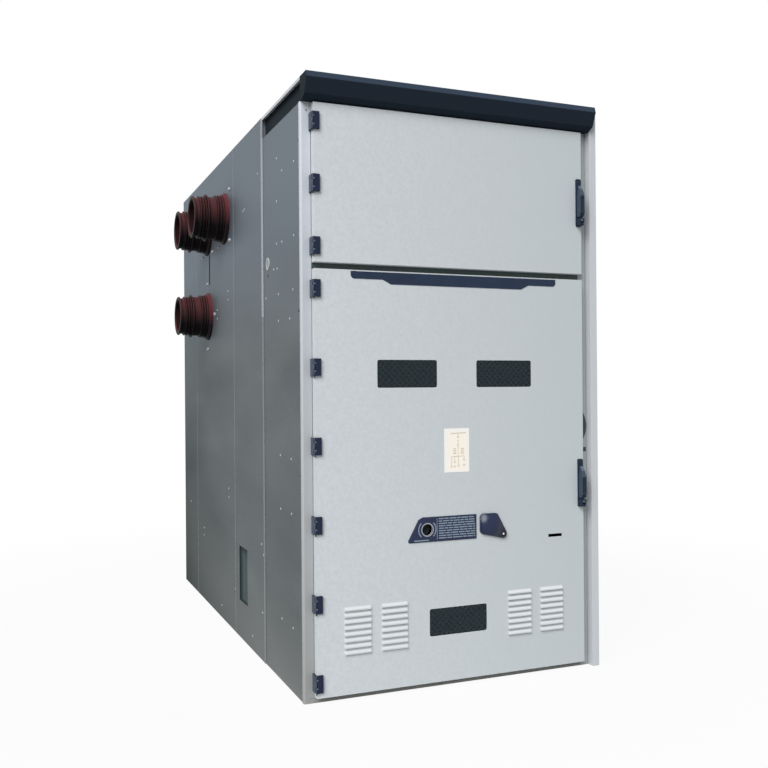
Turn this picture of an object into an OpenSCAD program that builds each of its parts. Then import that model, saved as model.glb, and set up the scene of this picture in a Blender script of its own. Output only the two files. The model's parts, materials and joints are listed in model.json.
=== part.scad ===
// Medium voltage switchgear cabinet of folded sheet, with wall bushings on its left side.
// Origin at the middle of the footprint on the floor, front towards -Y, +Z up, millimetres.

/* [Cabinet] */
// Overall width
cab_w = 1400; // [1250:10:1600]
// Depth from the face of the front frame to the face of the rear frame
cab_d = 2720; // [2600:10:3000]
// Overall height
cab_h = 2600; // [2570:5:2700]
// Thickness of panels, posts, rails and partitions
sheet = 3; // [2:0.5:4]
// Width of the folded edges inside the panels
fold = 25; // [15:1:40]
// Gap at the joint of two side panels
seam = 0.6; // [0.2:0.1:1]
// Depth of the front section, under the canopy
front_section = 620; // [580:5:680]
// Depth of the middle section, behind the canopy
mid_section = 598; // [540:2:660]
// Joint of the rear roof plates, as a share of the depth behind the middle section
roof_share = 0.46; // [0.4:0.01:0.6]
// Front of the end panel, as a share of the depth behind the middle section
end_share = 0.698; // [0.69:0.001:0.75]
// Thickness of the covers over the right side
end_t = 36; // [25:1:50]
// Length of the fold at the front of the right cover, behind the front frame
end_fold = 40; // [25:1:60]

/* [Base] */
// Height of the base channels
base_h = 60; // [50:1:80]
// Thickness of the base channels
base_t = 4; // [3:0.5:6]
// Width of the channel flanges
base_flange = 60; // [50:1:80]
// Diameter of the anchor holes
anchor_d = 18; // [12:1:22]
// Anchor hole to the side of the cabinet
anchor_inset = 25; // [21:1:29]
// Anchor hole to the end of the channel
anchor_end = 150; // [100:5:300]
// Lap of the floor plate on the channels
floor_lap = 18; // [10:1:24]

/* [Front frame] */
// Width of the stiles beside the doors
stile_w = 45; // [40:1:60]
// Bend radius at the outer edge of the stiles
stile_r = 8; // [4:1:12]
// Width of the stile's return on the side of the cabinet
stile_return = 20; // [14:1:30]
// Reach of the latch openings into the right stile
latch_w = 18; // [10:1:24]
// Height of the tall latch opening, a segment of a circle
latch_h = 118; // [80:1:130]
// Middle of the tall latch opening above the lower handle's foot
latch_up = 368; // [300:1:420]
// Height of the low latch opening
catch_h = 14; // [10:1:24]
// Middle of the low latch opening above the lower handle's foot
catch_up = 266; // [240:1:290]
// Depth of the folded posts and rails
post_d = 60; // [40:1:80]
// Height of the rail between the doors
rail_h = 66; // [50:1:90]
// Height of the rail over the upper door
head_h = 50; // [40:1:70]
// Width of the rear posts
rear_post_w = 60; // [50:1:80]

/* [Canopy] */
// Height of the canopy over the front frame
canopy_h = 102; // [90:1:120]
// Reach of the canopy in front of the frame
canopy_reach = 92; // [80:1:105]
// Reach of the lower edge of the canopy
canopy_foot = 32; // [25:1:45]
// Height of the undercut at the foot of the canopy
canopy_undercut = 16; // [10:1:30]
// Run of the undercut from the foot to the fascia
undercut_run = 34; // [15:1:40]
// Height of the bevel along the top of the canopy
canopy_bevel = 26; // [15:1:35]
// Run of the bevel along the top of the canopy
bevel_run = 8; // [4:1:14]
// Height of the rim folded down round the canopy's lid
lid_rim = 14; // [8:1:18]
// Inset of the canopy sides from the cabinet sides
canopy_inset = 20; // [15:1:25]

/* [Doors] */
// Gap between the doors and the sides of the cabinet
door_side = 46; // [42:1:60]
// Height of the lower door's bottom edge
door_foot = 28; // [15:1:40]
// Height of the lower door, as a share of the front frame's height
lower_door_share = 0.711; // [0.68:0.001:0.72]
// Gap between the upper door and the canopy
door_head = 7; // [5:1:12]
// Gap between the two doors
door_split = 27; // [16:1:27]
// Depth of the doors
door_t = 34; // [28:1:40]
// Thickness of the door sheet
door_sheet = 2.5; // [1.5:0.5:3]
// Width of the lip folded round the back of the doors
door_lip = 18; // [12:1:30]
// Gap between the doors and the frame
door_seat = 2; // [1:0.5:4]

/* [Hinges] */
// Height of a hinge
hinge_h = 72; // [60:1:80]
// Reach of a hinge over the front of the door
hinge_reach = 24; // [18:1:30]
// Thickness of a hinge in front of the door
hinge_proud = 11; // [9:1:13]
// Radius of the hinge knuckles
knuckle_r = 5; // [4.5:0.1:5.4]
// Radius of the hinge pins
pin_r = 2.5; // [2:0.1:3]
// Running clearance round the pins
pin_clear = 0.1; // [0.05:0.05:0.3]
// Lowest hinge of the upper door above the door's edge
upper_hinge_first = 67; // [45:1:75]
// Highest hinge of the upper door below the door's edge
upper_hinge_last = 77; // [45:1:90]
// Lowest hinge of the lower door above the door's edge
lower_hinge_first = 61; // [45:1:90]
// Highest hinge of the lower door below the door's edge
lower_hinge_last = 82; // [60:1:100]
// Length of the hinge pins below the hinges
pin_tail = 8; // [4:1:12]

/* [Handles] */
// Width of the handle base
handle_w = 27; // [22:1:30]
// Height of the handle base
handle_h = 221; // [205:1:240]
// Thickness of the handle base
handle_t = 8; // [6:1:12]
// Foot of the lower handle, as a share of the lower door's height
lower_handle_share = 0.407; // [0.3:0.001:0.5]
// Gap between the handle base and the free edge of the door
handle_gap = 6; // [2:1:10]
// Pivot of the handle above its foot
handle_pivot = 26; // [22:1:40]
// Length of the lever above the pivot
lever_l = 162; // [140:1:172]
// Thickness of the lever at its bulge
lever_bulge = 30; // [26:1:34]

/* [Windows] */
// Width of a window
window_w = 280; // [200:5:300]
// Height of a window
window_h = 119; // [80:1:140]
// Corner radius of a window
window_r = 9; // [4:1:20]
// Offset of the upper windows from the middle of the door
window_x = 236.5; // [200:0.5:260]
// Middle of the upper windows, as a share of the lower door's height
window_share = 0.7545; // [0.7:0.0005:0.8]
// Middle of the lower window above the floor
low_window_z = 288; // [260:1:320]
// Thickness of the window panes
pane_t = 4; // [3:0.5:6]
// Lap of a pane behind the door sheet
pane_lap = 12; // [8:1:20]

/* [Louvres] */
// Width of a louvre
louvre_w = 119; // [80:1:130]
// Pitch of the louvres
louvre_pitch = 26; // [24:1:30]
// Louvres in a bank
louvre_n = 8; // [4:1:9]
// How far a louvre stands out
louvre_out = 9; // [6:0.5:12]
// Height of the opening under a louvre
louvre_gap = 9; // [6:0.5:11]
// Height of a louvre
louvre_h = 18; // [14:0.5:20]
// Offset of the inner banks from the middle of the door
louvre_in = 306; // [280:1:320]
// Offset of the outer banks from the middle of the door
louvre_far = 474; // [465:1:500]
// Foot of the banks above the floor
louvre_z = 196; // [150:1:220]
// Border of a bank round its louvres
louvre_border = 8; // [4:1:12]
// Thickness of the pressed louvres
louvre_t = 2; // [1.5:0.5:2.5]

/* [Operating plates] */
// Left end of the rating strip from the left side
strip_x = 206; // [180:1:240]
// Width of the rating strip
strip_w = 1002; // [900:1:1020]
// Gap between the strip and the upper edge of the door
strip_drop = 5; // [3:0.5:8]
// Depth of the strip at its ends
strip_end_h = 31; // [25:1:45]
// Depth of the strip in the middle
strip_mid_h = 50; // [47:1:65]
// Radius of the strip's lower corners
strip_r = 16; // [6:1:20]
// Length of the strip's shallow ends
strip_end_l = 144; // [100:1:180]
// Run of the slant between the two depths
strip_slant = 38; // [20:1:60]
// Thickness of strips, plates and cards
plate_t = 2; // [1:0.5:3]
// Right edge of the operating plate from the left side
plate_x = 790; // [770:1:792]
// Width of the operating plate along its top
plate_top_w = 264; // [255:1:300]
// Width of the operating plate along its foot
plate_foot_w = 336; // [305:1:350]
// Gap between the diagram card and the operating plate
plate_gap = 189; // [120:1:220]
// Height of the operating plate
plate_h = 108; // [90:1:120]
// Thickness of the operating plate
plate_raise = 5; // [3:0.5:7]
// Bevel round the operating plate
plate_bevel = 2.5; // [1:0.5:3]
// Corner radius of the operating plate
plate_r = 8; // [4:1:12]
// Cut at the upper left corner of the operating plate
plate_cut = 16; // [8:1:24]
// Width of the ring round the crank hole
ring_w = 5; // [4:0.5:8]
// Crank hole from the left side
crank_x = 549; // [540:1:560]
// Diameter of the crank hole
crank_d = 50; // [30:1:54]
// Width of the diagram card
card_w = 121; // [80:1:150]
// Height of the diagram card
card_h = 192; // [150:1:220]
// Gap between the upper windows and the diagram card
card_gap = 180; // [120:1:220]
// Left edge of the diagram card from the left side
card_x = 636; // [580:1:680]
// Width of the inspection slot
slot_w = 73; // [50:1:100]
// Height of the inspection slot
slot_h = 14; // [8:1:20]
// Middle of the slot below the foot of the operating plate
slot_drop = 13; // [0:1:30]
// Middle of the slot from the left side
slot_x = 1198.5; // [1150:0.5:1230]

/* [Swivel cover] */
// Pivot of the cover from the left side
cover_x = 843; // [838:1:860]
// Thickness of the cover
cover_t = 14; // [8:1:16]
// Length of the cover below its pivot
cover_drop = 92; // [84:1:100]
// Length of the cover beside its pivot
cover_tip = 96; // [88:1:110]
// Border of the cover above its pivot
cover_edge = 21; // [20:1:24]
// Border of the cover left of its pivot
cover_side = 37; // [30:1:38]
// Corner radius of the cover
cover_r = 19; // [12:1:20]
// Bevel round the cover
cover_bevel = 4; // [1:0.5:6]
// Diameter of the eye
eye_d = 11; // [5:0.5:12]
// Rise of the cover's lower edge from the eye to its left side
cover_rise = 22; // [10:1:30]
// Diameter of the operating hole that the cover closes
cover_hole_d = 32; // [20:1:40]

/* [Left side] */
// Front edge of the side opening from the front frame
opening_y = 958; // [900:2:980]
// Width of the side opening
opening_w = 180; // [150:1:200]
// Foot of the side opening above the floor
opening_z = 196; // [150:1:240]
// Height of the side opening
opening_h = 286; // [220:1:320]
// Depth of the tray behind the side opening
tray_d = 90; // [60:1:120]
// Diameter of the round plug
plug_d = 58; // [40:1:80]
// Plug from the front frame
plug_y = 526; // [450:1:540]
// Plug above the floor
plug_z = 1891; // [1870:1:1950]
// Width of the rim round the plug's face
plug_rim = 9; // [5:0.5:12]
// Depth of the plug's face behind its rim
plug_dish = 2; // [1:0.5:2.5]

/* [Bushings] */
// Front bushing, as a share of the depth behind the middle section
bush_front_share = 0.148; // [0.145:0.001:0.16]
// Rear bushings, as a share of the depth behind the middle section
bush_rear_share = 0.454; // [0.4:0.001:0.5]
// Upper bushings, as a share of the cabinet's height
bush_high_share = 0.87; // [0.85:0.001:0.88]
// Lower bushing, as a share of the cabinet's height
bush_low_share = 0.673; // [0.65:0.001:0.7]
// Radius of a bushing at the wall
bush_root_r = 142; // [120:1:150]
// Radius of a bushing at its lip
bush_lip_r = 114; // [105:1:130]
// Reach of a bushing out of the wall
bush_reach = 185; // [150:1:220]
// Radius of the bushing's bore
bush_bore_r = 82; // [60:1:88]
// Radius of a bushing's core at its waist
bush_waist_r = 116; // [110:1:117]
// Ribs on each side of the waist
bush_ribs = 3; // [2:1:4]
// Pitch of the ribs
bush_rib_pitch = 15; // [12:0.5:16]
// Depth of the ribs
bush_rib_d = 9; // [5:0.5:10]
// Radius of the ring beside the waist
bush_ring_r = 129; // [124:1:132]
// Distance of the ring from the wall
bush_ring_at = 105; // [100:1:110]
// Length of the spigot inside the wall
bush_spigot = 70; // [40:1:120]
// Radius of the hole in the wall
bush_hole_r = 122; // [110:1:124]
// Slit in the wall ahead of the rear bushings' middle
slit_ahead = 50; // [20:1:80]

/* [Rear and roof] */
// Depth of the rear covers
cover_d = 12; // [8:1:20]
// Gap round the rear covers
cover_gap = 8; // [4:1:20]
// Foot of the upper rear cover above the floor
rear_split = 1310; // [1200:5:1400]

/* [Hidden] */

$fn = 48;
tiny = 1;
joint = 0.5;
front_h = cab_h - canopy_h;
roof_z = cab_h - sheet;
mid_y = front_section + mid_section;
rear_d = cab_d - mid_y;
roof_joint = mid_y + roof_share * rear_d;
end_y = mid_y + end_share * rear_d;
bush_front_y = mid_y + bush_front_share * rear_d;
bush_rear_y = mid_y + bush_rear_share * rear_d;
bush_high_z = bush_high_share * cab_h;
bush_low_z = bush_low_share * cab_h;
door_front = -(door_seat + door_t);
lower_door_h = lower_door_share * front_h;
upper_foot = door_foot + lower_door_h + door_split;
upper_door_h = front_h - door_head - upper_foot;
shelf_z = upper_foot - door_split / 2;
hinge_x = door_side - 4;
hinge_y = door_front - hinge_proud + knuckle_r;
upper_hinge_pitch = (upper_door_h - upper_hinge_first - upper_hinge_last) / 2;
lower_hinge_pitch = (lower_door_h - lower_hinge_first - lower_hinge_last) / 5;
upper_hinges = [for (i = [0:2]) upper_foot + upper_hinge_first + i * upper_hinge_pitch];
lower_hinges = [for (i = [0:5]) door_foot + lower_hinge_first + i * lower_hinge_pitch];
handle_x = cab_w - door_side - handle_gap - handle_w / 2;
upper_handle = upper_foot + (upper_door_h - handle_h) / 2;
lower_handle = door_foot + lower_handle_share * lower_door_h;
window_z = door_foot + window_share * lower_door_h;
card_z = window_z - window_h / 2 - card_gap - card_h;
plate_z = card_z - plate_gap - plate_h;
plate_mid_z = plate_z + plate_h / 2;
slot_z = plate_z - slot_drop;
cover_z = plate_z + plate_h - cover_edge;
plug_hole_d = plug_d - 8;
cover_eye = [cover_x + cover_tip - cover_r, cover_z - cover_drop + cover_r];

navy = [0.16, 0.19, 0.29];
door_grey = [0.77, 0.80, 0.81];
zinc_grey = [0.45, 0.47, 0.50];
frame_grey = [0.74, 0.75, 0.80];

// Moves the origin to the front left corner of the frame at floor level
module from_corner() {
  translate([-cab_w / 2, -cab_d / 2, 0]) children();
}

// Repeats what is drawn on the left on the right side
module on_right() {
  mirror([1, 0, 0]) children();
}

// Box between two opposite corners
module box(low, high) {
  translate(low) cube(high - low);
}

// Outline given as depth and height, drawn out across the cabinet from x0 to x1
module across(x0, x1) {
  translate([x0, 0, 0]) rotate([90, 0, 90]) linear_extrude(x1 - x0) children();
}

// Outline given as width and height, drawn out towards the front from depth y
module forward(y, depth) {
  translate([0, y, 0]) rotate([90, 0, 0]) linear_extrude(depth) children();
}

// Rectangle with rounded corners about its middle
module rounded(w, h, r) {
  union() {
    square([w - 2 * r, h], center = true);
    square([w, h - 2 * r], center = true);
    for (x = [-1, 1], y = [-1, 1]) translate([x * (w / 2 - r), y * (h / 2 - r)]) circle(r);
  }
}

// Outline at distance r round a convex polygon whose corners run anticlockwise
module round_outline(corners, r) {
  n = len(corners);
  polygon([for (i = [0:n - 1])
    let (a = corners[i], b = corners[(i + 1) % n], along = (b - a) / norm(b - a))
    let (out = [along.y, -along.x] * r)
    each [a + out, b + out]]);
  for (at = corners) translate(at) circle(r);
}

// Welded ring of channels with their open side inwards
module base_frame() {
  low = [2 * sheet, stile_r, 0];
  high = [cab_w - 2 * sheet, cab_d - sheet, base_h];
  rim = [base_flange, base_flange, -tiny];
  inside = [base_t, base_t, base_t];
  color("dimgray") from_corner() difference() {
    box(low, high);
    box(low + rim, [high.x - base_flange, high.y - base_flange, base_h + tiny]);
    box(low + inside, high - inside);
    for (x = [anchor_inset, cab_w - anchor_inset], y = [anchor_end, cab_d - anchor_end])
      translate([x, y, -tiny]) cylinder(d = anchor_d, h = base_h + 2 * tiny);
  }
}

module floor_plate() {
  edge = sheet + base_flange - floor_lap;
  color(zinc_grey) from_corner()
    box([edge, edge, base_h], [cab_w - edge, cab_d - post_d, base_h + sheet]);
}

// Plan of a folded front post: face, bend and return on the side, and a leg on each side behind the face
module stile_plan() {
  difference() {
    union() {
      translate([stile_r, stile_r]) circle(stile_r);
      translate([stile_r, 0]) square([stile_w - stile_r, stile_r]);
      translate([0, stile_r]) square([stile_r, stile_return - stile_r]);
    }
    translate([stile_r, stile_r]) circle(stile_r - sheet);
    translate([stile_r, sheet]) square([stile_w, stile_r]);
    translate([sheet, stile_r]) square([stile_w, stile_return]);
  }
}

module stile() {
  linear_extrude(front_h) stile_plan();
  box([stile_w - sheet, sheet - joint, base_h], [stile_w, post_d, front_h]);
}

module left_stile() {
  color(frame_grey) from_corner() stile();
}

// The latch openings are beside the lower handle, at the edge of the door
module right_stile() {
  edge = stile_w - latch_w;
  latch_r = (latch_h * latch_h / 4 + latch_w * latch_w) / (2 * latch_w);
  color(frame_grey) on_right() from_corner() difference() {
    stile();
    forward(sheet + tiny, sheet + 2 * tiny) {
      translate([edge + latch_r, lower_handle + latch_up]) circle(latch_r, $fn = 96);
      translate([edge, lower_handle + catch_up - catch_h / 2]) square([2 * latch_w, catch_h]);
    }
  }
}

// Channel between the stiles with its open side to the rear
module cross_rail(z, h) {
  back = post_d - sheet;
  difference() {
    box([stile_w, 0, z], [cab_w - stile_w, back, z + h]);
    box([stile_w - tiny, sheet, z + sheet], [cab_w - stile_w + tiny, back + tiny, z + h - sheet]);
  }
}

// Plate under the lower door, with its foot folded back to the base
module front_sill() {
  color(frame_grey) from_corner() {
    box([stile_w, 0, 0], [cab_w - stile_w, sheet, base_h]);
    box([stile_w, sheet, 0], [cab_w - stile_w, stile_r, sheet]);
  }
}

module door_rail() {
  color([0.28, 0.34, 0.33]) from_corner() cross_rail(shelf_z - rail_h / 2, rail_h);
}

module head_rail() {
  color(frame_grey) from_corner() cross_rail(front_h - head_h, head_h);
}

// Outline of the canopy's fascia in side view, with its front, top and foot drawn in by t
module fascia_outline(t) {
  polygon([
    [-t, front_h + t],
    [-canopy_foot + t, front_h + t],
    [-canopy_foot - undercut_run + t, front_h + canopy_undercut],
    [-canopy_reach + t, cab_h - canopy_bevel],
    [-canopy_reach + bevel_run + t, cab_h - t],
    [-t, cab_h - t]
  ]);
}

module canopy() {
  back = front_section - seam;
  side = canopy_inset;
  color([0.13, 0.15, 0.21]) from_corner() {
    difference() {
      across(0, cab_w) fascia_outline(0);
      across(sheet, cab_w - sheet) fascia_outline(sheet);
    }
    difference() {
      box([side, 0, front_h], [cab_w - side, back, roof_z]);
      box([side + sheet, sheet, front_h - tiny], [cab_w - side - sheet, back - sheet, roof_z + tiny]);
    }
  }
}

// Lid with a rim folded down along both sides
module canopy_lid() {
  back = front_section - seam;
  color(zinc_grey) from_corner() {
    box([0, 0, roof_z], [cab_w, back, cab_h]);
    for (x = [0, cab_w - sheet]) box([x, 0, cab_h - lid_rim], [x + sheet, back, roof_z]);
  }
}

// Flat side sheet up to the roof, with a folded top edge and a folded front edge
module side_panel(y0, y1) {
  low = y0 + seam / 2;
  box([0, low, 0], [sheet, y1, roof_z]);
  box([sheet, low, base_h], [fold, low + sheet, roof_z]);
  box([sheet, low + sheet, roof_z - sheet], [fold, y1, roof_z]);
}

// The middle panel is folded at its rear edge too, where the next panel is bolted to it
module mid_panel() {
  back = mid_y - seam / 2;
  side_panel(front_section, back);
  box([sheet, back - sheet, base_h], [fold, back, roof_z - sheet]);
}

// The front panel laps behind the return of the stile, so it stands one sheet further in than the others
module front_panel() {
  back = front_section - seam / 2;
  box([sheet, stile_r, 0], [2 * sheet, back, front_h]);
  box([2 * sheet, back - sheet, base_h], [fold, back, front_h]);
}

// Places what is drawn along +Z at the plug, pointing out of the left front panel
module at_plug() {
  translate([sheet, plug_y, plug_z]) rotate([0, -90, 0]) children();
}

module left_front_panel() {
  color(zinc_grey) from_corner() difference() {
    front_panel();
    at_plug() cylinder(d = plug_hole_d, h = 4 * sheet, center = true);
  }
}

module right_front_panel() {
  color(zinc_grey) on_right() from_corner() front_panel();
}

module left_mid_panel() {
  color(zinc_grey) from_corner() difference() {
    mid_panel();
    box([-tiny, opening_y, opening_z], [sheet + tiny, opening_y + opening_w, opening_z + opening_h]);
  }
}

// Places what is drawn along +X at a bushing on the left wall
module at_bushing(y, z) {
  translate([0, y, z]) rotate([0, -90, 0]) children();
}

// The slit between the rear bushings keeps the wall from carrying current round them
module left_rear_panel() {
  slit = bush_rear_y - slit_ahead;
  color(zinc_grey) from_corner() difference() {
    side_panel(mid_y, end_y - seam / 2);
    for (at = [[bush_front_y, bush_high_z], [bush_rear_y, bush_high_z], [bush_rear_y, bush_low_z]])
      at_bushing(at.x, at.y) cylinder(r = bush_hole_r, h = 4 * sheet, center = true);
    box([-tiny, slit - sheet / 2, bush_low_z], [sheet + tiny, slit + sheet / 2, bush_high_z]);
  }
}

module left_end_panel() {
  color(zinc_grey) from_corner() side_panel(end_y, cab_d);
}

module right_rear_panel() {
  color(zinc_grey) on_right() from_corner() side_panel(front_section, cab_d);
}

// Folded cover over the right side, which ends a row of cabinets
module end_cover(y0, y1) {
  low = [cab_w, y0, 0];
  high = [cab_w + end_t, y1, roof_z];
  wall = [door_sheet, door_sheet, door_sheet];
  difference() {
    box(low, high);
    box([cab_w - tiny, low.y + door_sheet, door_sheet], high - wall);
  }
}

// The front cover reaches to the face of the doors and is folded back along the front frame
module right_front_cover() {
  color(frame_grey) from_corner() {
    end_cover(door_front, mid_y - seam / 2);
    box([cab_w, door_front, 0], [cab_w + door_sheet, end_fold, roof_z]);
  }
}

module right_rear_cover() {
  color(frame_grey) from_corner() end_cover(mid_y + seam / 2, cab_d);
}

// Open tray behind the side opening
module side_tray() {
  low = [sheet, opening_y - sheet, opening_z - sheet];
  high = [sheet + tray_d, opening_y + opening_w + sheet, opening_z + opening_h + sheet];
  color([0.35, 0.40, 0.43]) from_corner() difference() {
    box(low, high);
    box([sheet - tiny, opening_y, opening_z], [high.x - sheet, high.y - sheet, high.z - sheet]);
  }
}

// Plug pressed into a hole, with a dished face
module side_plug() {
  color([0.62, 0.66, 0.68]) from_corner() at_plug() difference() {
    union() {
      cylinder(d = plug_d, h = sheet);
      translate([0, 0, -2 * sheet]) cylinder(d = plug_hole_d - tiny, h = 2 * sheet + tiny);
    }
    translate([0, 0, sheet - plug_dish]) cylinder(d = plug_d - 2 * plug_rim, h = plug_dish + tiny);
  }
}

module control_shelf() {
  back = front_section - seam / 2 - 2 * sheet;
  color(zinc_grey) from_corner()
    box([2 * sheet, post_d, shelf_z], [cab_w - 2 * sheet, back, shelf_z + sheet]);
}

module control_back() {
  y = front_section - seam / 2 - sheet;
  color(zinc_grey) from_corner()
    box([2 * sheet, y - sheet, shelf_z], [cab_w - 2 * sheet, y, front_h]);
}

module breaker_back() {
  y = mid_y - seam / 2 - sheet;
  color(zinc_grey) from_corner()
    box([sheet, y - sheet, base_h + sheet], [cab_w - sheet, y, roof_z - sheet]);
}

module left_rear_post() {
  color(zinc_grey) from_corner() difference() {
    box([sheet, cab_d - post_d, base_h], [rear_post_w, cab_d, roof_z - sheet]);
    box([2 * sheet, cab_d - post_d - tiny, base_h - tiny], [rear_post_w - sheet, cab_d - sheet, roof_z]);
  }
}

module right_rear_post() {
  on_right() left_rear_post();
}

// Shallow tray bolted on the rear frame
module rear_cover(z0, z1) {
  low = [cover_gap, cab_d, z0];
  high = [cab_w - cover_gap, cab_d + cover_d, z1];
  difference() {
    box(low, high);
    box([low.x + sheet, cab_d - tiny, z0 + sheet], [high.x - sheet, high.y - sheet, z1 - sheet]);
  }
}

module rear_upper_cover() {
  color(zinc_grey) from_corner() rear_cover(rear_split + cover_gap / 2, roof_z - cover_gap);
}

module rear_lower_cover() {
  color(zinc_grey) from_corner() rear_cover(cover_gap, rear_split - cover_gap / 2);
}

module roof_plate(y0, y1) {
  box([0, y0 + seam / 2, roof_z], [cab_w, y1 - seam / 2, cab_h]);
}

module roof_front_plate() {
  color(zinc_grey) from_corner() roof_plate(front_section, mid_y);
}

module roof_mid_plate() {
  color(zinc_grey) from_corner() roof_plate(mid_y, roof_joint);
}

module roof_rear_plate() {
  color(zinc_grey) from_corner() roof_plate(roof_joint, cab_d);
}

// Ribbed funnel of cast resin: flange on the wall, spigot through the hole, open mouth
module bushing() {
  flange_l = 12;
  cone_l = 10;
  ring_l = 8;
  lip_l = 8;
  edge = 3;
  mouth = 14;
  first = flange_l + cone_l;
  outer_r = bush_waist_r - 8;
  // Outline of the ribs from depth d on, with the core tapering by fall over each pitch
  function ribs(d, core, fall) = [for (i = [0:bush_ribs - 1], p = [[0, 0], [0.25, 1], [0.55, 1], [0.8, 0]])
    [core - (i + p.x) * fall + p.y * bush_rib_d, d + (i + p.x) * bush_rib_pitch]];
  outline = concat(
    [[bush_bore_r, -bush_spigot], [bush_hole_r - 1, -bush_spigot], [bush_hole_r - 1, 0],
     [bush_root_r, 0], [bush_root_r, flange_l - edge], [bush_root_r - edge, flange_l],
     [bush_waist_r + bush_rib_d + 4, first]],
    ribs(first, bush_waist_r + bush_rib_d / 2, bush_rib_d / 2 / bush_ribs),
    [[bush_waist_r, first + bush_ribs * bush_rib_pitch], [bush_waist_r, bush_ring_at],
     [bush_ring_r - edge, bush_ring_at], [bush_ring_r, bush_ring_at + edge],
     [bush_ring_r - edge, bush_ring_at + ring_l]],
    ribs(bush_ring_at + ring_l, outer_r, 0.5),
    [[outer_r - 2, bush_ring_at + ring_l + bush_ribs * bush_rib_pitch],
     [outer_r - 2, bush_reach - lip_l - edge], [bush_lip_r, bush_reach - lip_l],
     [bush_lip_r, bush_reach - edge], [bush_lip_r - edge, bush_reach],
     [bush_bore_r + mouth, bush_reach], [bush_bore_r, bush_reach - 40]]);
  rotate_extrude($fn = 72) polygon(outline);
}

module bushing_upper_front() {
  color([0.40, 0.18, 0.18]) from_corner() at_bushing(bush_front_y, bush_high_z) bushing();
}

module bushing_upper_rear() {
  color([0.40, 0.18, 0.18]) from_corner() at_bushing(bush_rear_y, bush_high_z) bushing();
}

module bushing_lower_rear() {
  color([0.40, 0.18, 0.18]) from_corner() at_bushing(bush_rear_y, bush_low_z) bushing();
}

// Fixed half of a hinge: a block beside the door's edge with the middle knuckle and the pin
module frame_leaf() {
  third = hinge_h / 3;
  block_w = 7;
  block_x = door_side - 2 - block_w;
  translate([0, 0, -hinge_h / 2]) {
    box([block_x, door_front, 0], [block_x + block_w, 0, hinge_h]);
    translate([0, 0, third]) linear_extrude(third) {
      translate([hinge_x, hinge_y]) circle(knuckle_r);
      translate([hinge_x - knuckle_r, hinge_y]) square([2 * knuckle_r - 3, door_front - hinge_y]);
    }
    translate([hinge_x, hinge_y, -pin_tail]) cylinder(r = pin_r, h = hinge_h + pin_tail);
  }
}

module hinge_frame_leaves() {
  color(navy) from_corner()
    for (z = concat(upper_hinges, lower_hinges)) translate([0, 0, z]) frame_leaf();
}

// Moving half of a hinge: a plate on the door's front with the outer knuckles
module door_leaf() {
  third = hinge_h / 3;
  gap = 0.5;
  edge = hinge_x + knuckle_r + 1;
  front = door_front - hinge_proud;
  translate([0, 0, -hinge_h / 2]) difference() {
    union() {
      box([edge, front, 0], [door_side + hinge_reach, door_front, hinge_h]);
      for (z = [0, 2 * third + gap]) translate([0, 0, z]) linear_extrude(third - gap) {
        translate([hinge_x, hinge_y]) circle(knuckle_r);
        translate([hinge_x, front]) square([edge - hinge_x + tiny, 2 * knuckle_r]);
      }
    }
    translate([hinge_x, hinge_y, -tiny]) cylinder(r = pin_r + pin_clear, h = hinge_h + 2 * tiny);
  }
}

module upper_hinge_leaves() {
  color(navy) from_corner() for (z = upper_hinges) translate([0, 0, z]) door_leaf();
}

module lower_hinge_leaves() {
  color(navy) from_corner() for (z = lower_hinges) translate([0, 0, z]) door_leaf();
}

// Door folded from one sheet, with a lip round its back
module door_pan(z, h) {
  wall = door_sheet;
  left = door_side;
  right = cab_w - door_side;
  difference() {
    box([left, door_front, z], [right, -door_seat, z + h]);
    box([left + wall, door_front + wall, z + wall], [right - wall, -door_seat - wall, z + h - wall]);
    box([left + door_lip, door_front + wall, z + door_lip], [right - door_lip, tiny, z + h - door_lip]);
  }
}

module upper_door() {
  color(door_grey) from_corner() door_pan(upper_foot, upper_door_h);
}

// Middles of the three windows as distance from the left side and height
window_places = [
  [cab_w / 2 - window_x, window_z], [cab_w / 2 + window_x, window_z], [cab_w / 2, low_window_z]
];
bank_offsets = [-louvre_far, -louvre_in, louvre_in, louvre_far];
bank_w = louvre_w + 2 * louvre_border;
bank_h = (louvre_n - 1) * louvre_pitch + louvre_h + 2 * louvre_border;

module lower_door() {
  color(door_grey) from_corner() difference() {
    door_pan(door_foot, lower_door_h);
    forward(door_front + door_sheet + tiny, door_sheet + 2 * tiny) {
      for (at = window_places) translate(at) rounded(window_w, window_h, window_r);
      for (x = bank_offsets) translate([cab_w / 2 + x - bank_w / 2, louvre_z - louvre_border])
        square([bank_w, bank_h]);
      translate([slot_x - slot_w / 2, slot_z - slot_h / 2]) square([slot_w, slot_h]);
      translate([crank_x, plate_mid_z]) circle(d = crank_d);
      translate([cover_x + cover_side / 2, cover_z - cover_drop / 2]) circle(d = cover_hole_d);
    }
  }
}

// Bank of louvres pressed out of one sheet, flush in the door and open under each hood
module louvre_bank() {
  inner = louvre_w / 2 - louvre_t;
  difference() {
    forward(door_front + door_sheet, door_sheet)
      translate([-bank_w / 2, -louvre_border]) square([bank_w, bank_h]);
    for (i = [0:louvre_n - 1])
      box([-inner, door_front - tiny, i * louvre_pitch],
          [inner, door_front + door_sheet + tiny, i * louvre_pitch + louvre_gap]);
  }
  for (i = [0:louvre_n - 1]) translate([0, door_front, i * louvre_pitch])
    difference() {
      across(-louvre_w / 2, louvre_w / 2)
        polygon([[0, 0], [-louvre_out, 0], [-louvre_out, louvre_t], [0, louvre_h]]);
      across(-inner, inner)
        polygon([[tiny, -tiny], [louvre_t - louvre_out, -tiny], [louvre_t - louvre_out, louvre_t / 2],
                 [0, louvre_gap], [tiny, louvre_gap]]);
    }
}

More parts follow.
